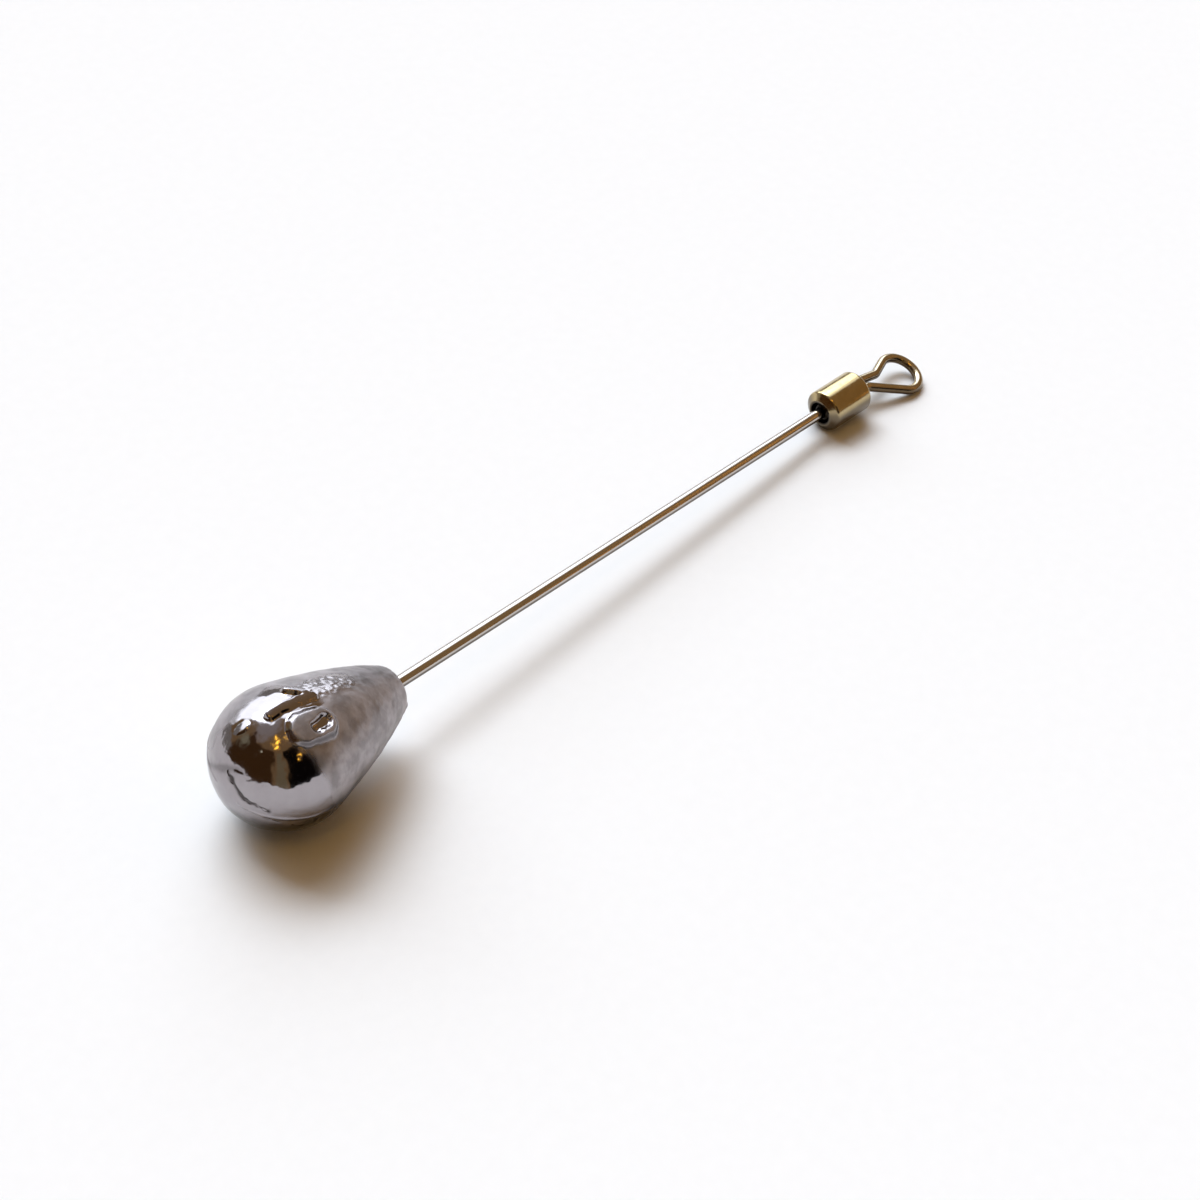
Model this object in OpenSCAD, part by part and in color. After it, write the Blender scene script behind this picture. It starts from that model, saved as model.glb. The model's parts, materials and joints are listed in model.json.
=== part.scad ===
// Inline fishing sinker: a cast lead pear on a long straight wire stem, with a barrel swivel
// and a wire eye at the far end. It lies on a flat surface, on the bulge of the lead, the rim
// of the swivel barrel and the edge of the eye. +X runs from the lead to the eye, +Z is up,
// and the origin is at the middle of the base of the whole piece.

/* [Lead] */
// Diameter of the lead at its fullest
lead_d = 10.7; // [9.5:0.1:14]
// Length of the lead from its round tail to its nose
lead_len = 16.1; // [14:0.1:20]
// Diameter of the nose, before its edge is rounded
nose_d = 3.6; // [2.6:0.1:5]
// Radius of the rounded edge of the nose
nose_round = 0.55; // [0.2:0.05:0.9]
// Radius of the long curve of the flank, from the bulge to the nose
flank_r = 36; // [25:1:90]

/* [Numerals] */
// Height of the numerals, measured along the stem
numeral_h = 4.3; // [3:0.1:5.5]
// Width of the nought
nought_w = 2.25; // [1.8:0.05:2.8]
// Width of the strokes
stroke_w = 0.8; // [0.5:0.05:1]
// Gap between the one and the nought
numeral_gap = 0.5; // [0.3:0.05:1]
// Height of the numerals above the lead
relief = 0.35; // [0.15:0.05:0.6]
// Distance from the tail of the lead to the middle of the numerals
numeral_place = 5.7; // [5:0.1:9]
// Turn of the numerals and the parting line about the stem, from straight up
lead_roll = 12; // [0:1:40]

/* [Parting line] */
// Width of the ridge where the two halves of the mould met
seam_w = 0.22; // [0.1:0.02:0.4]
// Height of that ridge
seam_h = 0.07; // [0.04:0.01:0.15]

/* [Stem] */
// Diameter of the stem wire
stem_d = 1; // [0.7:0.05:1.4]
// Length of the stem from the nose of the lead to the mouth of the barrel
stem_len = 52.6; // [30:0.1:90]
// Depth of the anchor bend inside the lead, from the nose
anchor_depth = 10; // [7:0.5:12]
// Length of the bent leg inside the lead, past its bend
anchor_leg = 2.2; // [1:0.1:2.8]
// Radius of the anchor bend, to the middle of the wire
anchor_bend = 1; // [0.8:0.1:1.4]

/* [Barrel] */
// Outside diameter of the swivel barrel
barrel_d = 3.75; // [3.4:0.05:5]
// Length of the barrel over both necked ends
barrel_len = 5.1; // [4.9:0.1:8]
// Thickness of the tube wall
barrel_wall = 0.4; // [0.25:0.05:0.45]
// Length of each necked end
neck_len = 0.45; // [0.4:0.05:0.7]
// Diameter of the mouth in each necked end
mouth_d = 2; // [1.7:0.05:2.1]
// Width of the flat lip round each mouth
lip_w = 0.22; // [0.1:0.02:0.3]
// Radius of the shoulder between tube and neck
shoulder_r = 0.3; // [0.15:0.05:0.4]
// Depth of the straight wall of each mouth
mouth_depth = 0.35; // [0.25:0.05:0.4]
// Length of the cone between each mouth and the bore
throat_len = 0.4; // [0.3:0.05:0.6]

/* [Heads] */
// Diameter of the round heads on the stem and the eye, inside the barrel
head_d = 2.5; // [2.3:0.05:2.6]
// Distance from the middle of a head to its flat end
head_flat = 0.95; // [0.7:0.05:1.1]
// Running clearance between a head and the mouth that holds it
head_gap = 0.05; // [0.03:0.01:0.1]

/* [Eye] */
// Diameter of the eye wire
eye_wire_d = 0.85; // [0.6:0.05:1]
// Outside width of the loop
eye_w = 4.65; // [3.8:0.05:5.2]
// Reach of the loop beyond the mouth of the barrel
eye_reach = 8.2; // [5.8:0.1:9]
// Length of the neck from the mouth to the point where the legs part
eye_neck = 1.35; // [1:0.05:1.5]
// Radius of the bend between the shank and the first leg, to the middle of the wire
eye_bend = 0.8; // [0.5:0.05:1.1]
// Distance from the mouth of the barrel to the cut end of the second leg
stub_clear = 0.45; // [0.3:0.05:0.7]
// Hairline gap between that cut end and the shank it lies against
stub_gap = 0.04; // [0.02:0.01:0.08]

/* [Lying pose] */
// Turn of the barrel about the vertical, away from the line of the stem
barrel_turn = -4; // [-12:1:0]
// Rise of the barrel towards the eye
barrel_lift = 3; // [0:1:8]
// Turn of the eye about the vertical, away from the line of the stem
eye_turn = -5; // [-16:1:0]
// Roll of the eye about its own shank
eye_roll = 16; // [0:1:32]

/* [Hidden] */
$fn = 96;

// Lead: a ball and a long flank arc that touches it, cut off at the rounded nose
ball_r = lead_d / 2;
nose_x = lead_len - ball_r;
nose_far = norm([nose_d / 2, nose_x]);
nose_dir = [nose_d / 2, nose_x] / nose_far;
flank_along = (nose_far ^ 2 + ball_r ^ 2 - 2 * flank_r * ball_r) / (2 * nose_far);
flank_aside = sqrt((flank_r - ball_r) ^ 2 - flank_along ^ 2);
flank_c = flank_along * nose_dir + flank_aside * [-nose_dir[1], nose_dir[0]];
flank_angle = atan2(-flank_c[1], -flank_c[0]);
round_x = nose_x - nose_round;
round_r = flank_c[0] + sqrt((flank_r - nose_round) ^ 2 - (round_x - flank_c[1]) ^ 2);
nose_angle = atan2(round_x - flank_c[1], round_r - flank_c[0]);

// Seat of each head: the head bears on the inner edge of its mouth
head_r = head_d / 2;
mouth_r = mouth_d / 2;
seat = mouth_depth + sqrt((head_r + head_gap) ^ 2 - mouth_r ^ 2);
bore_r = barrel_d / 2 - barrel_wall;
lip_r = mouth_r + lip_w;

// A bend is a hair thicker than the straight wire that runs a little way into it
bend_extra = 0.01;
bend_lap = 0.03;

// Loop of the eye: two legs that leave the neck and touch a round arc
loop_r = (eye_w - eye_wire_d) / 2;
loop_x = seat + eye_reach - eye_w / 2;
fork_x = seat + eye_neck;
leg_angle = asin(loop_r / (loop_x - fork_x));
bend_run = eye_bend * tan(leg_angle / 2);
stub_y = eye_wire_d + stub_gap;
stub_x = fork_x + stub_y / tan(leg_angle) - bend_run;
arc_end = [loop_x - loop_r * sin(leg_angle), loop_r * cos(leg_angle)];

// Lying pose: the bulge, the near rim of the barrel and the edge of the loop all touch z = 0
stem_run = nose_x + stem_len + seat;
hub_z = barrel_d / 2 * cos(barrel_lift) + (seat - neck_len) * sin(barrel_lift);
stem_sink = asin((ball_r - hub_z) / stem_run);
barrel_dir = [cos(barrel_lift) * cos(barrel_turn), cos(barrel_lift) * sin(barrel_turn),
              sin(barrel_lift)];
head_span = barrel_len - 2 * seat;
eye_z = hub_z + head_span * barrel_dir[2];
rise = eye_z - (eye_wire_d + bend_extra) / 2;
loop_low = loop_r * sin(eye_roll);
loop_flat = loop_r * cos(eye_roll);
pitch_sin = (-rise * loop_x + sqrt((rise * loop_x) ^ 2
             - (loop_x ^ 2 - loop_flat ^ 2) * (rise ^ 2 - loop_low ^ 2)))
            / (loop_x ^ 2 - loop_flat ^ 2);
eye_pitch = asin(pitch_sin);

// Place along X: the tail of the lead and the far edge of the loop lie equally far from x = 0
eye_dir_x = cos(eye_pitch) * cos(eye_turn);
side_dir_x = -sin(eye_roll) * pitch_sin * cos(eye_turn) - cos(eye_roll) * sin(eye_turn);
eye_far = stem_run * cos(stem_sink) + head_span * barrel_dir[0] + loop_x * eye_dir_x
          + loop_r * norm([eye_dir_x, side_dir_x]) + (eye_wire_d + bend_extra) / 2;
lead_x = (ball_r + seam_h - eye_far) / 2;
hub = [lead_x + stem_run * cos(stem_sink), 0, hub_z];
eye_hub = hub + head_span * barrel_dir;
over = lead_d;

module lay_stem() {
    translate([lead_x, 0, ball_r]) rotate([0, stem_sink, 0]) children();
}

module lay_barrel() {
    translate(hub) rotate([0, -barrel_lift, barrel_turn]) children();
}

module lay_eye() {
    translate(eye_hub) rotate([eye_roll, -eye_pitch, eye_turn]) children();
}

// Straight wire from p to q, run on past each end by lap
module rod(p, q, d, lap = 0) {
    v = q - p;
    translate(p) rotate([0, acos(v[2] / norm(v)), atan2(v[1], v[0])]) translate([0, 0, -lap])
        cylinder(h = norm(v) + 2 * lap, d = d);
}

// Bent wire that sets out from the origin along +X and turns towards +Y
module bend(r, angle, d) {
    translate([0, r, 0]) rotate([0, 0, -90]) rotate_extrude(angle = angle) translate([r, 0])
        circle(d = d + bend_extra);
}

// Round head of a wire, flattened on the side that looks into the barrel
module head(flat_side) {
    intersection() {
        sphere(d = head_d);
        translate([flat_side * (head_flat - over / 2), 0, 0]) cube(over, center = true);
    }
}

// Upright strip beside the axis, from one height to another
module strip(width, low, high) {
    polygon([[0, low], [width, low], [width, high], [0, high]]);
}

// Solid pear with every surface moved out by grow: ball, flank and rounded nose, end to end
module pear(grow) {
    flank_low = (ball_r + grow) * sin(flank_angle);
    flank_high = round_x + (nose_round + grow) * sin(nose_angle);
    rotate([0, 90, 0]) rotate_extrude() {
        intersection() {
            circle(r = ball_r + grow);
            strip(over, -over, flank_low);
        }
        intersection() {
            translate(flank_c) circle(r = flank_r + grow);
            strip(over, flank_low, flank_high);
        }
        intersection() {
            translate([round_r, round_x]) circle(r = nose_round + grow);
            strip(over, flank_high, flank_high + over);
        }
        strip(round_r, flank_high, nose_x + grow);
    }
}

module one() {
    translate([-stroke_w, 0]) square([stroke_w, numeral_h]);
    polygon([[-stroke_w / 2, numeral_h], [-stroke_w, numeral_h],
             [-stroke_w * 2, numeral_h - stroke_w], [-stroke_w * 2, numeral_h - stroke_w * 2],
             [-stroke_w / 2, numeral_h - stroke_w]]);
}

module stadium(w, h) {
    translate([0, w / 2]) square([w, h - w]);
    translate([w / 2, w / 2]) circle(d = w);
    translate([w / 2, h - w / 2]) circle(d = w);
}

module nought() {
    difference() {
        stadium(nought_w, numeral_h);
        translate([stroke_w, stroke_w])
            stadium(nought_w - 2 * stroke_w, numeral_h - 2 * stroke_w);
    }
}

// Raised numerals that read with the nose of the lead upwards
module numerals() {
    intersection() {
        pear(relief);
        translate([numeral_place - ball_r - numeral_h / 2, 0, 0]) rotate([0, 0, -90])
            linear_extrude(ball_r + relief) {
                translate([-numeral_gap / 2, 0]) one();
                translate([numeral_gap / 2, 0]) nought();
            }
    }
}

module parting_ridge() {
    intersection() {
        pear(seam_h);
        cube([2 * lead_len, lead_d * 2, seam_w], center = true);
    }
}

// Wire inside the lead: a straight run, a bend and a short leg that keeps it from turning
module anchor() {
    bend_x = nose_x - anchor_depth + anchor_bend;
    rod([bend_x - bend_lap, 0, 0], [nose_x, 0, 0], stem_d);
    translate([bend_x, 0, 0]) rotate([-90, 0, 180]) bend(anchor_bend, 90, stem_d);
    translate([bend_x - anchor_bend, 0, -anchor_bend - anchor_leg])
        cylinder(h = anchor_leg + bend_lap, d = stem_d);
}

module lead_weight() {
    color([0.45, 0.44, 0.47]) lay_stem() rotate([lead_roll, 0, 0]) difference() {
        union() {
            pear(0);
            numerals();
            parting_ridge();
        }
        anchor();
        rod([nose_x - stem_d, 0, 0], [nose_x + over, 0, 0], stem_d);
    }
}

module stem_wire() {
    color([0.66, 0.64, 0.6]) lay_stem() rotate([lead_roll, 0, 0]) {
        anchor();
        rod([nose_x, 0, 0], [stem_run, 0, 0], stem_d);
        translate([stem_run, 0, 0]) head(1);
    }
}

// Outside of the barrel in half section, up to its far neck: a cone touches a round shoulder
module barrel_end() {
    shoulder = [barrel_d / 2 - shoulder_r, neck_len];
    run = shoulder - [lip_r, 0];
    touch_angle = atan2(run[1], run[0]) - acos(shoulder_r / norm(run)) + 180;
    touch = shoulder + shoulder_r * [cos(touch_angle), sin(touch_angle)];
    polygon([[0, 0], [lip_r, 0], touch, shoulder, [barrel_d / 2, neck_len],
             [barrel_d / 2, barrel_len - neck_len], [0, barrel_len - neck_len]]);
    translate(shoulder) circle(r = shoulder_r);
}

// Inside of the barrel in half section, up to its far cone: straight mouth, cone, bore
module bore_end() {
    bore_low = mouth_depth + throat_len;
    polygon([[0, -over], [mouth_r, -over], [mouth_r, mouth_depth], [bore_r, bore_low],
             [bore_r, barrel_len - bore_low], [0, barrel_len - bore_low]]);
}

module swivel_barrel() {
    color([0.74, 0.68, 0.52]) lay_barrel() translate([-seat, 0, 0]) rotate([0, 90, 0])
        rotate_extrude() difference() {
            union() {
                barrel_end();
                translate([0, barrel_len]) mirror([0, 1]) barrel_end();
            }
            bore_end();
            translate([0, barrel_len]) mirror([0, 1]) bore_end();
        }
}

// Leg of the eye on one side: a bend away from the shank, then straight to the round arc
module leg(x, y, side) {
    start = [x + eye_bend * sin(leg_angle), y + side * eye_bend * (1 - cos(leg_angle)), 0];
    translate([x, y, 0]) mirror([0, side > 0 ? 0 : 1, 0]) bend(eye_bend, leg_angle, eye_wire_d);
    rod(start, [arc_end[0], side * arc_end[1], 0], eye_wire_d, bend_lap);
}

module eye_wire() {
    color([0.72, 0.69, 0.6]) lay_eye() {
        head(-1);
        rod([0, 0, 0], [fork_x - bend_run + bend_lap, 0, 0], eye_wire_d);
        leg(fork_x - bend_run, 0, -1);
        translate([arc_end[0], -arc_end[1], 0]) rotate([0, 0, -leg_angle])
            bend(loop_r, 180 + 2 * leg_angle, eye_wire_d);
        leg(stub_x, stub_y, 1);
        rod([seat + stub_clear, stub_y, 0], [stub_x + bend_lap, stub_y, 0], eye_wire_d);
    }
}

lead_weight();
stem_wire();
swivel_barrel();
eye_wire();
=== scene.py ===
"""A pear-shaped lead fishing sinker on a wire stem, with a barrel swivel and a wire eye, on white paper."""

import json
from itertools import product

import bpy
import numpy as np
from mathutils import Matrix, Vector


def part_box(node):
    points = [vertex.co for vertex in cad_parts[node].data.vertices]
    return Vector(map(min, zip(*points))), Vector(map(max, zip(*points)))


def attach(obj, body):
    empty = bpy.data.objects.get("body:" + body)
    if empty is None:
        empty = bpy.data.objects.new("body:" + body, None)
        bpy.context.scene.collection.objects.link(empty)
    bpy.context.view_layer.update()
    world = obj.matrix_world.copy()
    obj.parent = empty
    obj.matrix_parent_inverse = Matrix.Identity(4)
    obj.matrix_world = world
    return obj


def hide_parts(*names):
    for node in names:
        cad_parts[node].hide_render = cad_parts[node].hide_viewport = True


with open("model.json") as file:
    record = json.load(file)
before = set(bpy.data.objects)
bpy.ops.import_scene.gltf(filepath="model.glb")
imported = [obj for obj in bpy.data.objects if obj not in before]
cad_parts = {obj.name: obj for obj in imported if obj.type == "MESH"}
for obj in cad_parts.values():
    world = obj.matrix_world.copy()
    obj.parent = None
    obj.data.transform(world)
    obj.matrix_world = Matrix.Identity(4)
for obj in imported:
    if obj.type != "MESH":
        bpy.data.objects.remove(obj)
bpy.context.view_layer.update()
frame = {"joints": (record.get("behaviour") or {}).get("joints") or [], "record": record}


# Lead weight
# A pear of cast lead, as it comes out of a two-part mould: mirror bright on the belly, duller and
# finely lumpy towards the nose, with raised numerals, a parting ridge and creases near the tail.
mm = 0.001
ball_r = 5.35 * mm
lead_len = 16.1 * mm
nose_r = 1.8 * mm
nose_round = 0.55 * mm
flank_r = 36 * mm
wire_r = 0.5 * mm
lead_roll = np.radians(12)
ridge_h = 0.07 * mm
ridge_w = 0.11 * mm

joints = {joint["name"]: joint for joint in frame["joints"]}
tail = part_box("lead_weight")[0]
ball = np.array([tail.x + ball_r + ridge_h, 0, ball_r])
stem_head = np.array(joints["barrel_spin"]["pos_m"])
along = (stem_head - ball) / np.linalg.norm(stem_head - ball)
level = np.array([0.0, 1.0, 0.0])
upward = np.cross(along, level)
lead_side = np.cos(lead_roll) * level + np.sin(lead_roll) * upward
lead_face = np.cos(lead_roll) * upward - np.sin(lead_roll) * level


def skin(name, rings, start=None, end=None):
    """Closed mesh over a grid of points: each ring of points is joined to the next by four-sided faces.
    The ends meet in the points start and end, or in each other where neither is given."""
    count, around = rings.shape[:2]
    points = rings.reshape(-1, 3)
    row = np.arange(count if start is None else count - 1)[:, None] * around
    here = np.arange(around)[None, :]
    there = (here + 1) % around
    above = (row + around) % (count * around)
    faces = np.stack([row + here, row + there, above + there, above + here], -1).reshape(-1, 4).tolist()
    if start is not None:
        points = np.vstack([points, start, end])
        here, there = here[0], there[0]
        last = (count - 1) * around
        faces += np.stack([there, here, np.full(around, count * around)], -1).tolist()
        faces += np.stack([last + here, last + there, np.full(around, count * around + 1)], -1).tolist()
    mesh = bpy.data.meshes.new(name)
    mesh.from_pydata(points.tolist(), [], faces)
    mesh.shade_smooth()
    piece = bpy.data.objects.new(name, mesh)
    bpy.context.scene.collection.objects.link(piece)
    return piece


def mark(piece, name, values):
    """Writes one number for each point of a piece, for its material to read."""
    held = piece.data.attributes.new(name, "FLOAT", "POINT")
    values = np.concatenate([np.ravel(values), np.zeros(len(held.data))])[:len(held.data)]
    held.data.foreach_set("value", values)


def smooth(value, start=0, end=1):
    """Smooth step from 0 to 1 while the value goes from start to end."""
    share = np.clip((value - start) / (end - start), 0, 1)
    return share * share * (3 - 2 * share)


def lumps(points, size, seed):
    """Smooth random height between about -1 and 1: each corner of a lattice of cubes of that size has a
    random slope, and the slopes of the eight corners round a point are blended by quintic steps."""
    slopes = np.random.default_rng(seed).normal(size=(16, 16, 16, 3))
    low = np.floor(points / size).astype(int)
    offset = points / size - low
    step = offset ** 3 * (offset * (offset * 6 - 15) + 10)
    height = np.zeros(points.shape[:-1])
    for corner in product((0, 1), repeat=3):
        weight = np.prod(np.where(corner, step, 1 - step), -1)
        slope = slopes[tuple(np.moveaxis((low + corner) % 16, -1, 0))]
        height += weight * np.sum(slope * (offset - corner), -1)
    return height


def to_segment(x, y, start, end):
    """Distance of the points x, y from the straight line between two points."""
    run = np.subtract(end, start)
    share = np.clip(((x - start[0]) * run[0] + (y - start[1]) * run[1]) / (run @ run), 0, 1)
    return np.hypot(x - start[0] - share * run[0], y - start[1] - share * run[1])


def to_path(x, y, points):
    """Distance of the points x, y from a chain of straight lines, each from one point to the next."""
    return np.min([to_segment(x, y, start, end) for start, end in zip(points, points[1:])], axis=0)


def pear_profile(steps):
    """Half outline of the pear from the tail to the wire, as places along the axis and radii: an arc of
    the ball, a long flank arc that touches it, a small nose arc that touches the flank, and the flat end."""
    nose_x = lead_len - ball_r
    far = np.hypot(nose_x, nose_r)
    share = (far ** 2 + ball_r ** 2 - 2 * flank_r * ball_r) / (2 * far)
    aside = np.sqrt((flank_r - ball_r) ** 2 - share ** 2)
    flank_x = share * nose_x / far + aside * nose_r / far
    flank_y = share * nose_r / far - aside * nose_x / far
    round_x = nose_x - nose_round
    round_y = flank_y + np.sqrt((flank_r - nose_round) ** 2 - (round_x - flank_x) ** 2)
    flank_start = np.arctan2(-flank_x, -flank_y)
    flank_end = np.arctan2(round_x - flank_x, round_y - flank_y)
    length = np.cumsum([0, ball_r * (np.pi / 2 + flank_start), flank_r * (flank_end - flank_start),
                        nose_round * (np.pi / 2 - flank_end), round_y - wire_r])
    run = steps * length[-1]
    turn_a = -np.pi / 2 + run / ball_r
    turn_b = flank_start + (run - length[1]) / flank_r
    turn_c = flank_end + (run - length[2]) / nose_round
    zones = [run < length[1], run < length[2], run < length[3]]
    x = np.select(zones, [ball_r * np.sin(turn_a), flank_x + flank_r * np.sin(turn_b),
                          round_x + nose_round * np.sin(turn_c)], nose_x)
    y = np.select(zones, [ball_r * np.cos(turn_a), flank_y + flank_r * np.cos(turn_b),
                          round_y + nose_round * np.cos(turn_c)], round_y - (run - length[3]))
    turn = np.select(zones, [turn_a, turn_b, turn_c], np.pi / 2)
    return x, y, turn


# The bare pear: rings of points round its axis, closer together on the side with the numerals.
# Every point also has its place to the side, which is to the right as the numerals read, its rise
# above the parting line, and its height from the tail.
pear_rings = 300
pear_around = 320
closeness = 0.45
x, y, turn = (line[:, None] for line in pear_profile(np.linspace(0, 1, pear_rings)[1:]))
spin = np.linspace(0, 2 * np.pi, pear_around, endpoint=False)
spin = (spin - closeness * np.sin(spin))[None, :]
side = y * np.sin(spin)
rise = y * np.cos(spin)
height = x + ball_r
facing = rise > 0
spoke = np.cos(spin)[..., None] * lead_face - np.sin(spin)[..., None] * lead_side
outward = np.cos(turn)[..., None] * spoke + np.sin(turn)[..., None] * along
place = ball + x[..., None] * along + y[..., None] * spoke


def waves(*layers):
    """Random waves over the pear: the sum of layers of lumps, each with its height, width and seed."""
    return sum(size * lumps(place, width, seed) for size, width, seed in layers)


# Raised numerals: strokes with soft, slightly ragged edges. The 1 leans and falls off to one side.
numeral_h = 4.3 * mm
numeral_place = 5.7 * mm
numeral_gap = 0.5 * mm
relief = 0.35 * mm
stroke_w = 0.8 * mm
one_aside = 0.1 * mm
one_lean = 0.2 * mm
one_half = 0.36 * mm
one_soft = 0.26 * mm
one_relief_share = 0.7
one_fall = 0.8
one_fall_limit = 0.4 * mm
flag_half = 0.25 * mm
flag_reach = 1.25 * mm
flag_drop = 1.6 * mm
nought_w = 2.25 * mm
nought_soft = 0.56 * mm
nought_lean = 0.1 * mm
nought_low = 1.5 * mm
nought_high = 1.35 * mm
hole_half = 0.42 * mm
hole_soft = 0.36 * mm
hole_lean = 0.3 * mm
hole_low = 2 * mm
hole_high = 1.1 * mm
edge_waves = (0.08 * mm, 0.9 * mm, 5), (0.04 * mm, 0.4 * mm, 6)

foot = numeral_place - numeral_h / 2
top = foot + numeral_h
one_x = -numeral_gap / 2 - stroke_w / 2 - one_aside
one_foot = (one_x - one_lean, foot + stroke_w / 2)
one_top = (one_x + one_lean, top - stroke_w / 2)
nought_x = numeral_gap / 2 + nought_w / 2
ragged = waves(*edge_waves)
one = to_segment(side, height, one_foot, one_top) - one_half
flag = to_segment(side, height, one_top, (one_x - flag_reach, top - flag_drop)) - flag_half
one = smooth(0.5 - (np.minimum(one, flag) + ragged) / one_soft)
across = side - one_x - one_lean * (2 * (height - foot) / numeral_h - 1)
one = one * (one_relief_share - one_fall * np.clip(across, -one_fall_limit, one_fall_limit) / mm)
nought = to_segment(side, height, (nought_x - nought_lean, foot + nought_low),
                    (nought_x + nought_lean, top - nought_high)) - nought_w / 2
hole = to_segment(side, height, (nought_x + hole_lean, top - hole_low),
                  (nought_x + nought_lean, top - hole_high)) - hole_half
nought_edge = smooth(0.5 - (nought + ragged) / nought_soft)
nought = nought_edge * smooth(0.5 + (hole - ragged) / hole_soft)
numerals = np.maximum(one, nought) * facing

# Dark marks: creases and a fold near the tail and tarnish on the nose, and painted shade along the
# parting line, at the right edge of the nought and on the side that lies down. Each pair of places
# says where a mark starts and where it is full.
tail_crease = mm * np.array([(-0.6, 1.8), (0.5, 1.3), (1.4, 0.75), (2.3, 0.8), (3.2, 0.5)])
low_crease = mm * np.array([(3.2, -0.15), (4.2, -0.6), (4.7, -0.9), (5.05, -0.85), (5.3, -0.1)])
fold_path = mm * np.array([(-2.6, 0), (-2, 0.6), (-0.9, 1.7), (-0.2, 2.3), (0.4, 2.5)])
crease_w = 0.15 * mm
crease_depth = 0.06 * mm
blot_least = 0.2
blot_spread = 1.5
blot_level = 0.3
fold_w = 0.26 * mm
fold_depth = 0.02 * mm
fold_share = 0.5
tail_height = (ball_r, ball_r - 1 * mm)
crease_waves = (0.2 * mm, 1.1 * mm, 11), (0.1 * mm, 0.4 * mm, 17)
blot_wave = (1, 0.9 * mm, 14)
seam_w = 0.14 * mm
seam_low = 0.05 * mm
seam_side = (3 * mm, 4 * mm)
seam_height = (7 * mm, 5 * mm)
seam_share = 0.9
nought_share = 0.8
nought_side = (nought_x + 0.2 * mm, nought_x + 0.7 * mm)
nose_height = (10 * mm, 13 * mm)
nose_side = (1.4 * mm, -0.6 * mm)
nose_share = 0.4
nose_wave = (0.2, 1.2 * mm, 18)
down_start = 0.12
down_more = 0.14
down_range = 0.25
down_more_height = (3 * mm, 6 * mm)
down_side = (-1 * mm, 1 * mm)
down_least_share = 0.3
down_height = (12 * mm, 7 * mm)
down_wave = (0.06, 1.5 * mm, 15)

near_tail = smooth(height, *tail_height)
wander = waves(*crease_waves)
blots = blot_least + blot_spread * np.clip(waves(blot_wave) + blot_level, 0, 1)
crease = np.minimum(to_path(side, rise, tail_crease), to_path(side, rise, low_crease)) + wander
crease = np.exp(-(crease / (crease_w * blots)) ** 2) * near_tail
fold = np.exp(-((to_path(side, rise, fold_path) + wander) / fold_w) ** 2) * near_tail
# Painted shade: a dark line just below the parting line, on one side only, stands in for the shadow it
# reflects.
seam_painted_shade = np.exp(-((rise + seam_low) / seam_w) ** 2) * smooth(side, *seam_side)
seam_painted_shade = seam_share * seam_painted_shade * smooth(height, *seam_height)
# Painted shade: the slope at the right edge of the nought is darkened, on that side only.
nought_slope_painted_shade = nought_share * 4 * nought_edge * (1 - nought_edge) * smooth(side, *nought_side) * facing
nose_tarnish = smooth(height, *nose_height) * smooth(side, *nose_side) * (nose_share + waves(nose_wave))
# Painted shade on the side that lies down: darker where the normal points down, fading out towards the nose
# and stronger on one side, in place of the shadow that the underside reflects.
down = -outward[..., 2] - down_start + down_more * smooth(height, *down_more_height) + waves(down_wave)
underside_shade = down_least_share + (1 - down_least_share) * smooth(side, *down_side)
underside_shade = underside_shade * smooth(down / down_range) * smooth(height, *down_height)
# Stains and painted shade together: creases, fold and nose tarnish, and the painted shade of the parting
# line, the nought and the underside.
stains_and_shade = np.max([crease, fold_share * fold, seam_painted_shade, nought_slope_painted_shade, nose_tarnish * facing, underside_shade], axis=0)

# Finish: dull towards the nose, on the left and on top of the numerals, pitted on the upper flank,
# and mirror bright elsewhere.
dull_start = 3.2 * mm
dull_slope = 0.37
dull_step = 4.6 * mm
dull_step_side = (0.9 * mm, 0.3 * mm)
dull_edge = (-0.36 * mm, 0.54 * mm)
dull_wave = (0.5 * mm, 1.8 * mm, 12)
left_share = 0.8
left_edge = (2.7 * mm, 3.5 * mm)
left_wave = (0.5 * mm, 1.4 * mm, 13)
one_share = 0.6
numeral_edge_share = 0.9
hole_edge = -0.2 * mm
pit_low = (-1.2 * mm, 8.2 * mm)
pit_high = (-0.9 * mm, 11 * mm)
pit_reach = (1.6 * mm, 0.6 * mm)
pit_share = 0.6
pit_wave = (0.03 * mm, 0.33 * mm, 10)

start = dull_start + dull_slope * side + dull_step * smooth(side, *dull_step_side)
pitted = smooth(to_segment(side, height, pit_low, pit_high), *pit_reach) * facing
dull = smooth(height - start + waves(dull_wave), *dull_edge)
dull = np.maximum(dull, left_share * smooth(waves(left_wave) - side, *left_edge))
dull = np.maximum(dull, np.maximum(nought, one_share * one / one_relief_share) ** 4)
dull = dull * (1 - numeral_edge_share * 4 * nought * (1 - nought)) * (1 - smooth(hole, 0, hole_edge))
dull = dull * (1 - pit_share * pitted)

# Relief: numerals, a small flat spot, the parting ridge, and the shallow lumps of the casting, with
# finer ones towards the nose.
spot_x = -1.9 * mm
spot_y = 2.25 * mm
spot_r = 0.55 * mm
spot_lift = 0.03 * mm
spot_slope = 0.16
spot_flat_share = 2 / 3
ridge_wave = (0.5, 1.5 * mm, 8)
cast_waves = (0.06 * mm, 3.2 * mm, 2), (0.024 * mm, 1.3 * mm, 3), (0.003 * mm, 0.25 * mm, 9)
fine_wave = (0.5 * mm, 4)
fine_h = 0.006 * mm
fine_nose_h = 0.014 * mm
fine_height = (7 * mm, 13 * mm)

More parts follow.
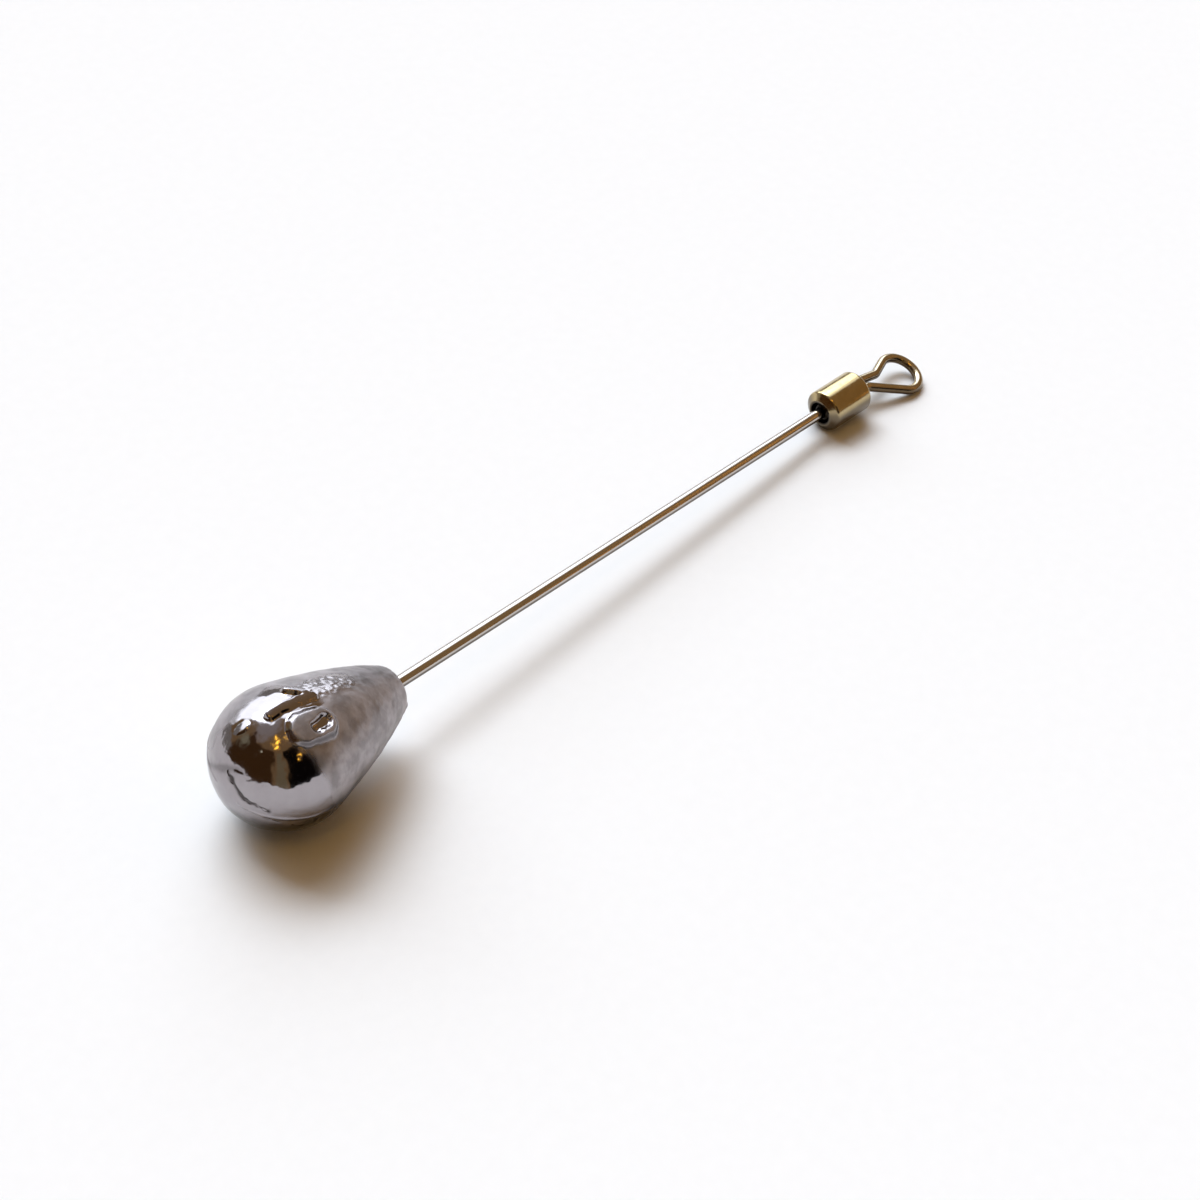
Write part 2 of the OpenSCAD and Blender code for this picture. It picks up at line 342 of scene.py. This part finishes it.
flat_spot = smooth(np.hypot(side - spot_x, height - spot_y), spot_r, spot_r * spot_flat_share) * facing
grow = relief * numerals + (spot_lift + spot_slope * (side - spot_x)) * flat_spot
grow += ridge_h * np.exp(-(rise / ridge_w) ** 2) * (1 + waves(ridge_wave)) * (y > wire_r + nose_round)
grow += waves(*cast_waves)
grow += (fine_h + fine_nose_h * smooth(height, *fine_height)) * lumps(place, *fine_wave)
grow += pitted * waves(pit_wave) - crease_depth * crease - fold_depth * fold
nose = ball + (lead_len - ball_r) * along
lead = skin("lead_pear", place + grow[..., None] * outward, ball - ball_r * along, nose)
# The crease mark holds all of these dark marks, the painted shade included.
mark(lead, "crease", stains_and_shade)
mark(lead, "dull", dull)


class Shade:
    """One output of a shader node. A sum of outputs and numbers adds a Math node for each operator."""

    def __init__(self, tree, socket=None):
        self.tree = tree
        self.socket = socket

    def node(self, kind, settings, sockets, output=0):
        """Adds a node: first its settings, then a value or a link for each of its sockets."""
        made = self.tree.nodes.new("ShaderNode" + kind)
        for name, value in settings.items():
            setattr(made, name, value)
        for name, value in sockets.items():
            if isinstance(value, Shade):
                self.tree.links.new(value.socket, made.inputs[name])
            else:
                made.inputs[name].default_value = value
        return Shade(self.tree, made.outputs[output] if made.outputs else None)

    def math(self, operation, *values):
        """Math node of that operation on outputs or numbers."""
        return self.node("Math", {"operation": operation}, dict(enumerate(values)))

    def mix(self, share, first, second):
        """Colour between first and second, by share."""
        return self.node("Mix", {"data_type": "RGBA"}, {0: share, 6: first, 7: second}, 2)

    def band(self, low, high):
        """Smooth step from 0 to 1 while this value goes from low to high."""
        return self.node("MapRange", {"interpolation_type": "SMOOTHSTEP"}, {0: self, 1: low, 2: high})

    def place(self):
        """Place on the object, in its own coordinates."""
        return self.node("TexCoord", {}, {}, 3)

    def noise(self, at, scale, detail):
        """Smooth random pattern between 0 and 1, with that many waves to a metre."""
        return self.node("TexNoise", {}, {"Vector": at, "Scale": scale, "Detail": detail})

    def read(self, name):
        """The number that a mark wrote for each point."""
        return self.node("Attribute", {"attribute_name": name}, {}, 2)

    def dot(self, at, axis):
        """How far a place or a direction reaches along an axis."""
        return self.node("VectorMath", {"operation": "DOT_PRODUCT"}, {0: at, 1: tuple(axis)}, 1)

    def __add__(self, other):
        return self.math("ADD", self, other)

    def __sub__(self, other):
        return self.math("SUBTRACT", self, other)

    def __rsub__(self, other):
        return self.math("SUBTRACT", other, self)

    def __mul__(self, other):
        return self.math("MULTIPLY", self, other)

    __radd__ = __add__
    __rmul__ = __mul__


def new_material(name):
    """An empty material, and a Shade that adds nodes to it."""
    material = bpy.data.materials.new(name)
    material.use_nodes = True
    material.node_tree.nodes.clear()
    return material, Shade(material.node_tree)


# Cast lead: bright metal where it is not dull, and nearly black in the marks, which are stains and painted
# shade.
bright_tones = (0.31, 0.285, 0.30, 1), (0.38, 0.355, 0.37, 1)
matte_tones = (0.28, 0.26, 0.27, 1), (0.42, 0.39, 0.41, 1)
stain_and_shade_tone = (0.022, 0.016, 0.014, 1)
cloud_scale = 420.0
patch_scale = 1100.0
grain_scale = 5200.0
grain_depth = 0.03 * mm

lead_finish, shade = new_material("cast_lead")
place_at = shade.place()
dull_at = shade.read("dull")
cloud = shade.noise(place_at, cloud_scale, 4.0)
patch = shade.noise(place_at, patch_scale, 3.0)
grain = shade.noise(place_at, grain_scale, 3.0)
bright = shade.mix(patch, *bright_tones)
matte = shade.mix((patch * 0.6 + cloud * 0.4).band(0.38, 0.62), *matte_tones)
tone = shade.mix(shade.read("crease") * 0.9, shade.mix(dull_at, bright, matte), stain_and_shade_tone)
bump = shade.node("Bump", {}, {"Strength": 0.3, "Distance": grain_depth, "Height": grain * (0.15 + dull_at)})
surface = shade.node("BsdfPrincipled", {}, {
    "Base Color": tone, "Metallic": 1 - 0.35 * dull_at, "Roughness": 0.08 + 0.28 * dull_at + 0.05 * cloud,
    "Normal": bump})
shade.node("OutputMaterial", {}, {"Surface": surface})
lead.data.materials.append(lead_finish)
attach(lead, "weight")
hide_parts("lead_weight")


# Stem
# One straight drawn steel wire. Its foot is bent and cast into the lead, and its far end is upset
# to a round head that turns inside the swivel barrel.
head_r = 1.25 * mm
head_flat = 0.95 * mm
head_steps = 24
anchor_depth = 10 * mm
anchor_leg = 2.2 * mm
anchor_bend = 1 * mm
shank_end = 0.2 * mm
leg_steps = 6
bend_steps = 16
shank_steps = 240
neck_shares = np.linspace(1.1, 1, 4)[:-1]
steel_sides = 48
steel_tones = (0.48, 0.44, 0.41, 1), (0.60, 0.57, 0.53, 1)
# Painted shade tones: darker on the side that faces down, near black within the barrel's mouth.
steel_underside_shade = (0.10, 0.08, 0.06, 1)
steel_inside = (0.02, 0.016, 0.012, 1)
steel_underside_shade_range = (0.35, 0.0)
steel_roughness = (0.10, 0.08)
steel_grain = (0.2, 0.01 * mm)
drawn_scale = (60, 6000, 6000)
slant = (0.3, 0.9, 0.1)
mouth_dark_from = 1.5 * mm
mouth_dark_full = 1.2 * mm


def tube(name, path, radii, sides):
    """Round wire along a path: a circle of that radius stands square to the path at each of its points.
    Each circle starts in the direction of the one before it, less the part that lies along the path."""
    heading = np.gradient(path, axis=0)
    heading /= np.linalg.norm(heading, axis=1)[:, None]
    across = np.empty_like(path)
    first = np.cross(heading[0], slant)
    for index, direction in enumerate(heading):
        first = first - (first @ direction) * direction
        first /= np.linalg.norm(first)
        across[index] = first
    other = np.cross(heading, across)
    angle = np.linspace(0, 2 * np.pi, sides, endpoint=False)[None, :, None]
    circles = np.cos(angle) * across[:, None] + np.sin(angle) * other[:, None]
    return skin(name, path[:, None] + radii[:, None, None] * circles, path[0], path[-1])


def mark_underside_shade(piece, start, full):
    """Marks the side of a piece that faces down, for painted shade: 0 where the upright part of the
    normal is start, and 1 where it is full."""
    normals = np.empty(3 * len(piece.data.vertices))
    piece.data.vertex_normals.foreach_get("vector", normals)
    mark(piece, "underside_shade", smooth(normals[2::3], start, full))


def polished_metal(shade, pattern, tones, underside_shade_tone, inside_tone, inside, roughness, grain):
    """Polished metal: a pattern between two tones, then painted shade, darker on the side that faces
    down and near black in the barrel's mouth. Roughness is its least value and its spread, grain its
    strength and depth."""
    tone = shade.mix(shade.read("underside_shade"), shade.mix(pattern, *tones), underside_shade_tone)
    tone = shade.mix(inside, tone, inside_tone)
    bump = shade.node("Bump", {}, {"Strength": grain[0], "Distance": grain[1], "Height": pattern})
    surface = shade.node("BsdfPrincipled", {}, {
        "Base Color": tone, "Metallic": 1.0, "Roughness": roughness[0] + roughness[1] * pattern,
        "Normal": bump})
    shade.node("OutputMaterial", {}, {"Surface": surface})


stem_run = float((stem_head - ball) @ along)
bend_x = lead_len - ball_r - anchor_depth + anchor_bend
drop = -lead_face
leg = np.linspace(anchor_leg, 0, leg_steps)[:-1, None] * drop
leg = leg + (bend_x - anchor_bend) * along + anchor_bend * drop
angle = np.linspace(0, np.pi / 2, bend_steps)[:-1, None]
corner = (bend_x - anchor_bend * np.cos(angle)) * along + anchor_bend * (1 - np.sin(angle)) * drop
shank_x = np.linspace(bend_x, stem_run - head_r - shank_end, shank_steps)
neck_x = -np.sqrt(head_r ** 2 - wire_r ** 2) * neck_shares
head_turn = np.linspace(np.arcsin(wire_r / head_r), np.arccos(-head_flat / head_r), head_steps)
end_x = np.concatenate([neck_x, -head_r * np.cos(head_turn)])
end_r = np.where(np.abs(end_x) < head_r, np.sqrt(np.maximum(head_r ** 2 - end_x ** 2, wire_r ** 2)), wire_r)
path = np.vstack([leg, corner, shank_x[:, None] * along, (stem_run + end_x)[:, None] * along])
radii = np.concatenate([np.full(len(path) - len(end_r), wire_r), end_r])
stem = tube("stem_wire_drawn", ball + path, radii, steel_sides)
# Painted shade on the side that faces down, in place of the shadowed paper it reflects.
mark_underside_shade(stem, *steel_underside_shade_range)

steel_finish, shade = new_material("drawn_steel")
place_at = shade.place()
lines = shade.node("Mapping", {}, {"Vector": place_at, "Scale": drawn_scale})
lines = shade.noise(lines, 1.0, 3.0)
# Painted shade: the wire darkens where it goes into the barrel's mouth.
inside = (shade.dot(place_at, along) - float(stem_head @ along)).band(-mouth_dark_from, -mouth_dark_full)
polished_metal(shade, lines, steel_tones, steel_underside_shade, steel_inside, inside, steel_roughness, steel_grain)
stem.data.materials.append(steel_finish)
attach(stem, "weight")
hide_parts("stem_wire")


# Swivel barrel
# A short tube of nickel-plated brass. Each end is necked in to a cone with a flat lip, which keeps
# the head of one wire inside.
barrel_r = 1.875 * mm
barrel_len = 5.1 * mm
barrel_wall = 0.4 * mm
neck_len = 0.45 * mm
mouth_r = 1 * mm
lip_w = 0.22 * mm
shoulder_r = 0.3 * mm
bore_round = 0.1 * mm
mouth_depth = 0.35 * mm
throat_len = 0.4 * mm
edge_r = 0.05 * mm
barrel_around = 128
arc_steps = 9
barrel_tones = (0.46, 0.34, 0.14, 1), (0.60, 0.50, 0.31, 1)
# Painted shade tones: darker on the side that faces down, near black within the mouths.
barrel_underside_shade = (0.17, 0.135, 0.09, 1)
plate_inside = (0.03, 0.022, 0.015, 1)
barrel_underside_shade_range = (0.5, 0.1)
mouth_dark = (mouth_r + 0.2 * mm, mouth_r + 0.1 * mm)
plate_roughness = (0.12, 0.12)
plate_grain = (0.15, 0.02 * mm)
barrel_cloud_scale = 1500.0

eye_head = np.array(joints["eye_spin"]["pos_m"])
barrel_axis = (eye_head - stem_head) / np.linalg.norm(eye_head - stem_head)
barrel_mid = (stem_head + eye_head) / 2


def rounded(corners, radii, count):
    """Closed outline through round corners: each corner gives way to an arc that touches both its sides."""
    corners = np.asarray(corners)
    radii = np.asarray(radii)
    before = np.roll(corners, 1, 0) - corners
    after = np.roll(corners, -1, 0) - corners
    before /= np.linalg.norm(before, axis=1)[:, None]
    after /= np.linalg.norm(after, axis=1)[:, None]
    middle = before + after
    middle /= np.linalg.norm(middle, axis=1)[:, None]
    half = np.arccos(np.clip(np.sum(before * after, 1), -1, 1)) / 2
    centre = corners + (radii / np.sin(half))[:, None] * middle
    sweep = ((np.pi / 2 - half)[:, None] * np.linspace(1, -1, count)[None, :])[..., None]
    side = before - np.sum(before * middle, 1)[:, None] * middle
    side /= np.linalg.norm(side, axis=1)[:, None]
    spokes = np.cos(sweep) * middle[:, None] - np.sin(sweep) * side[:, None]
    return (centre[:, None] - radii[:, None, None] * spokes).reshape(-1, 2)


half_len = barrel_len / 2
throat_x = half_len - mouth_depth
end = [(throat_x - throat_len, barrel_r - barrel_wall), (throat_x, mouth_r), (half_len, mouth_r),
       (half_len, mouth_r + lip_w), (half_len - neck_len, barrel_r)]
corners = [(-x, y) for x, y in end] + end[::-1]
radii = [bore_round, edge_r, edge_r, edge_r, shoulder_r]
outline = rounded(corners, radii + radii[::-1], arc_steps)
angle = np.linspace(0, 2 * np.pi, barrel_around, endpoint=False)[:, None]
side_a = np.cross(barrel_axis, (0, 0, 1))
side_a /= np.linalg.norm(side_a)
side_b = np.cross(barrel_axis, side_a)
spokes = np.cos(angle) * side_a + np.sin(angle) * side_b
rings = barrel_mid + outline[:, None, :1] * barrel_axis + outline[:, None, 1:] * spokes[None]
barrel = skin("barrel_tube", rings)
# Painted shade: the bore darkens within the mouths.
mark(barrel, "inside", np.repeat(smooth(outline[:, 1], *mouth_dark), barrel_around))
# Painted shade on the side that faces down, in place of the shadowed paper it reflects.
mark_underside_shade(barrel, *barrel_underside_shade_range)

barrel_finish, shade = new_material("nickel_plate")
cloud = shade.noise(shade.place(), barrel_cloud_scale, 4.0)
inside = shade.read("inside")
polished_metal(shade, cloud, barrel_tones, barrel_underside_shade, plate_inside, inside, plate_roughness, plate_grain)
barrel.data.materials.append(barrel_finish)
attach(barrel, "barrel")
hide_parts("swivel_barrel")


# Eye
# One plated wire: a round head inside the barrel, a short shank, and a teardrop loop whose cut end
# lies against the shank.
eye_r = 0.425 * mm
eye_w = 4.65 * mm
eye_reach = 8.2 * mm
eye_neck = 1.35 * mm
eye_bend = 0.8 * mm
stub_clear = 0.45 * mm
stub_gap = 0.04 * mm
head_gap = 0.05 * mm
eye_sides = 40
eye_shank_steps = 20
eye_bend_steps = 12
loop_steps = 96
eye_leg_steps = 10
stub_steps = 8
eye_tones = (0.46, 0.37, 0.23, 1), (0.64, 0.57, 0.44, 1)
# Painted shade tone for the side of the wire that faces down.
eye_underside_shade = (0.12, 0.085, 0.05, 1)
eye_underside_shade_range = (0.8, 0.3)
eye_cloud_scale = 1300.0

eye_axis = np.array(joints["eye_spin"]["axis"])
loop_normal = np.array(frame["record"]["mounts"][0]["axis"])
loop_side = np.cross(loop_normal, eye_axis)
seat = mouth_depth + np.sqrt((head_r + head_gap) ** 2 - mouth_r ** 2)
loop_r = eye_w / 2 - eye_r
loop_x = seat + eye_reach - eye_w / 2
fork_x = seat + eye_neck
leg_angle = np.arcsin(loop_r / (loop_x - fork_x))
bend_run = eye_bend * np.tan(leg_angle / 2)
stub_y = 2 * eye_r + stub_gap
stub_x = fork_x + stub_y / np.tan(leg_angle) - bend_run
stub_end = (seat + stub_clear, stub_y)


def arc(centre, radius, start, end, count):
    """Points on an arc in the plane of the loop, between two angles."""
    angle = np.linspace(start, end, count)
    return np.stack([centre[0] + radius * np.cos(angle), centre[1] + radius * np.sin(angle)], -1)


def straight(start, end, count):
    """Points on a straight line in the plane of the loop, without its two ends."""
    share = np.linspace(0, 1, count + 2)[1:-1, None]
    return (1 - share) * np.asarray(start) + share * np.asarray(end)


quarter = np.pi / 2
first_bend = arc((fork_x - bend_run, -eye_bend), eye_bend, quarter, quarter - leg_angle, eye_bend_steps)
loop = arc((loop_x, 0), loop_r, -quarter - leg_angle, quarter + leg_angle, loop_steps)
last_bend = arc((stub_x, stub_y + eye_bend), eye_bend, leg_angle - quarter, -quarter, eye_bend_steps)
head_turn = np.linspace(np.arccos(head_flat / head_r), np.pi - np.arcsin(eye_r / head_r), head_steps)
head_x = -head_r * np.cos(head_turn)
shank = straight((head_x[-1], 0), first_bend[0], eye_shank_steps)
first_leg = straight(first_bend[-1], loop[0], eye_leg_steps)
last_leg = straight(loop[-1], last_bend[0], stub_steps)
stub = straight(last_bend[-1], stub_end, stub_steps)
head = np.stack([head_x, 0 * head_x], -1)
flat = np.vstack([head, shank, first_bend, first_leg, loop, last_leg, last_bend, stub, [stub_end]])
radii = np.full(len(flat), eye_r)
radii[:head_steps] = np.sqrt(head_r ** 2 - head_x ** 2)
eye = tube("eye_loop", eye_head + flat[:, :1] * eye_axis + flat[:, 1:] * loop_side, radii, eye_sides)
# Painted shade on the side that faces down, in place of the shadowed paper it reflects.
mark_underside_shade(eye, *eye_underside_shade_range)

eye_finish, shade = new_material("plated_wire")
place_at = shade.place()
cloud = shade.noise(place_at, eye_cloud_scale, 4.0)
# Painted shade: the wire darkens where it goes into the barrel's mouth.
inside = (shade.dot(place_at, eye_axis) - float(eye_head @ eye_axis)).band(mouth_dark_from, mouth_dark_full)
polished_metal(shade, cloud, eye_tones, eye_underside_shade, plate_inside, inside, plate_roughness, plate_grain)
eye.data.materials.append(eye_finish)
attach(eye, "eye")
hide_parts("eye_wire")


# Paper
# A sheet of plain white paper, much wider than the view, that the sinker lies on.
paper_half = 10.0
paper_tones = (0.92, 0.92, 0.92, 1), (0.95, 0.95, 0.95, 1)
fibre_scale = 900.0
corners = paper_half * np.array([(-1, -1, 0), (1, -1, 0), (1, 1, 0), (-1, 1, 0)])
mesh = bpy.data.meshes.new("paper")
mesh.from_pydata(corners.tolist(), [], [(0, 1, 2, 3)])
paper = bpy.data.objects.new("paper", mesh)
bpy.context.scene.collection.objects.link(paper)
paper_finish, shade = new_material("white_paper")
fibre = shade.noise(shade.place(), fibre_scale, 5.0)
matte = shade.node("BsdfDiffuse", {}, {"Color": shade.mix(fibre, *paper_tones)})
shade.node("OutputMaterial", {}, {"Surface": matte})
paper.data.materials.append(paper_finish)


# Room light
# A bright window beyond the sinker and to its left, over a pale wall, with a patch of grey ceiling.
# The rest of the room is warm and dark, with small lamps. It lights the paper and shows in the metal.
warm_room = (0.26, 0.16, 0.075, 1)
grey_ceiling = (0.38, 0.33, 0.31, 1)
dark_wood = (0.07, 0.032, 0.011, 1)
lit_wood = (0.30, 0.27, 0.18, 1)
door_light = (0.24, 0.19, 0.11, 1)
shadow = (0.004, 0.003, 0.003, 1)
gold_lamp = (8.0, 4.2, 0.4, 1)
amber_lamp = (2.2, 0.9, 0.1, 1)
white_lamp = (5, 5, 4, 1)
pale_wall = (0.30, 0.28, 0.26, 1)
side_window = (1.5, 1.55, 1.65, 1)
window = (2.8, 3.0, 3.2, 1)
open_sky = (9.3, 10.1, 11.1, 1)
gold_lamps = ((-147, 66, 2.2), (-162, 71, 1.4), (-109, 73, 1.2), (-100, 43, 1.3))
amber_lamps = ((-38, 25), (-27, 38), (-50, 10))
lamp_rim = 1.5

world = bpy.data.worlds.new("room")
bpy.context.scene.world = world
world.use_nodes = True
world.node_tree.nodes.clear()
shade = Shade(world.node_tree)
direction = shade.node("TexCoord", {}, {}, 0)


def toward(azimuth, elevation):
    """Unit vector in the direction of an azimuth from +X and an elevation, in degrees."""
    azimuth, elevation = np.radians(azimuth), np.radians(elevation)
    flat = np.cos(elevation)
    return float(flat * np.cos(azimuth)), float(flat * np.sin(azimuth)), float(np.sin(elevation))


def spot(azimuth, elevation, inner, outer):
    """1 within the inner angle of a direction, and 0 past the outer angle, in degrees."""
    near = shade.dot(direction, toward(azimuth, elevation))
    return near.band(float(np.cos(np.radians(outer))), float(np.cos(np.radians(inner))))


def pane(azimuth, half_width, low, high, soft):
    """1 inside a patch of sky between two elevations, within half_width of an azimuth, in degrees."""
    aim = toward(azimuth, 0)
    aside = shade.dot(direction, (-aim[1], aim[0], 0.0))
    bearing = shade.math("ABSOLUTE", shade.math("ARCTAN2", aside, shade.dot(direction, aim)))
    tall = shade.math("ARCSINE", shade.node("SeparateXYZ", {}, {0: direction}, 2))
    within = 1 - bearing.band(np.radians(half_width - soft), np.radians(half_width + soft))
    above = tall.band(np.radians(low - soft), np.radians(low + soft))
    below = 1 - tall.band(np.radians(high - soft), np.radians(high + soft))
    return within * above * below


room = shade.mix(spot(azimuth=120, elevation=70, inner=10, outer=24), warm_room, grey_ceiling)
room = shade.mix(pane(azimuth=170, half_width=42, low=-20, high=55, soft=3), room, dark_wood)
room = shade.mix(spot(azimuth=133, elevation=34, inner=4, outer=11), room, lit_wood)
room = shade.mix(pane(azimuth=-135, half_width=6, low=-10, high=52, soft=2), room, door_light)
room = shade.mix(pane(azimuth=-111, half_width=13, low=-20, high=58, soft=2), room, shadow)
room = shade.mix(pane(azimuth=-96, half_width=24, low=-20, high=42, soft=2), room, shadow)
for azimuth, elevation, size in gold_lamps:
    room = shade.mix(spot(azimuth, elevation, inner=size, outer=size * lamp_rim), room, gold_lamp)
for azimuth, elevation in amber_lamps:
    room = shade.mix(spot(azimuth, elevation, inner=1, outer=2.6), room, amber_lamp)
room = shade.mix(spot(azimuth=-177, elevation=46, inner=0.9, outer=1.7), room, white_lamp)
room = shade.mix(pane(azimuth=70, half_width=60, low=-20, high=15, soft=2), room, pale_wall)
room = shade.mix(pane(azimuth=20, half_width=8, low=42, high=58, soft=1.5), room, side_window)
room = shade.mix(pane(azimuth=65, half_width=39, low=15, high=71, soft=1.5), room, window)
room = shade.mix(pane(azimuth=72, half_width=30, low=41, high=59, soft=2), room, open_sky)
background = shade.node("Background", {}, {"Color": room, "Strength": 1.0})
shade.node("OutputWorld", {}, {"Surface": background})


# Camera
# It looks down on the sinker from the near left, turned a little about its own line of sight.
camera_at = np.array([-0.10943, -0.0832, 0.12918])
look_at = np.array([-0.00252, -0.00134, 0])
tilt = np.radians(6.74)
focal_len = 69.334
sensor_w = 36
near_clip = 5 * mm
camera = bpy.data.objects.new("camera", bpy.data.cameras.new("camera"))
camera.data.lens = focal_len
camera.data.sensor_width = sensor_w
camera.data.clip_start = near_clip
back = (camera_at - look_at) / np.linalg.norm(camera_at - look_at)
right = np.cross((0, 0, 1), back)
right /= np.linalg.norm(right)
over = np.cross(back, right)
axes = np.eye(4)
axes[:3, 0] = np.cos(tilt) * right + np.sin(tilt) * over
axes[:3, 1] = np.cos(tilt) * over - np.sin(tilt) * right
axes[:3, 2] = back
axes[:3, 3] = camera_at
camera.matrix_world = Matrix(axes.tolist())
bpy.context.scene.collection.objects.link(camera)
bpy.context.scene.camera = camera
bpy.context.scene.view_settings.view_transform = "Standard"
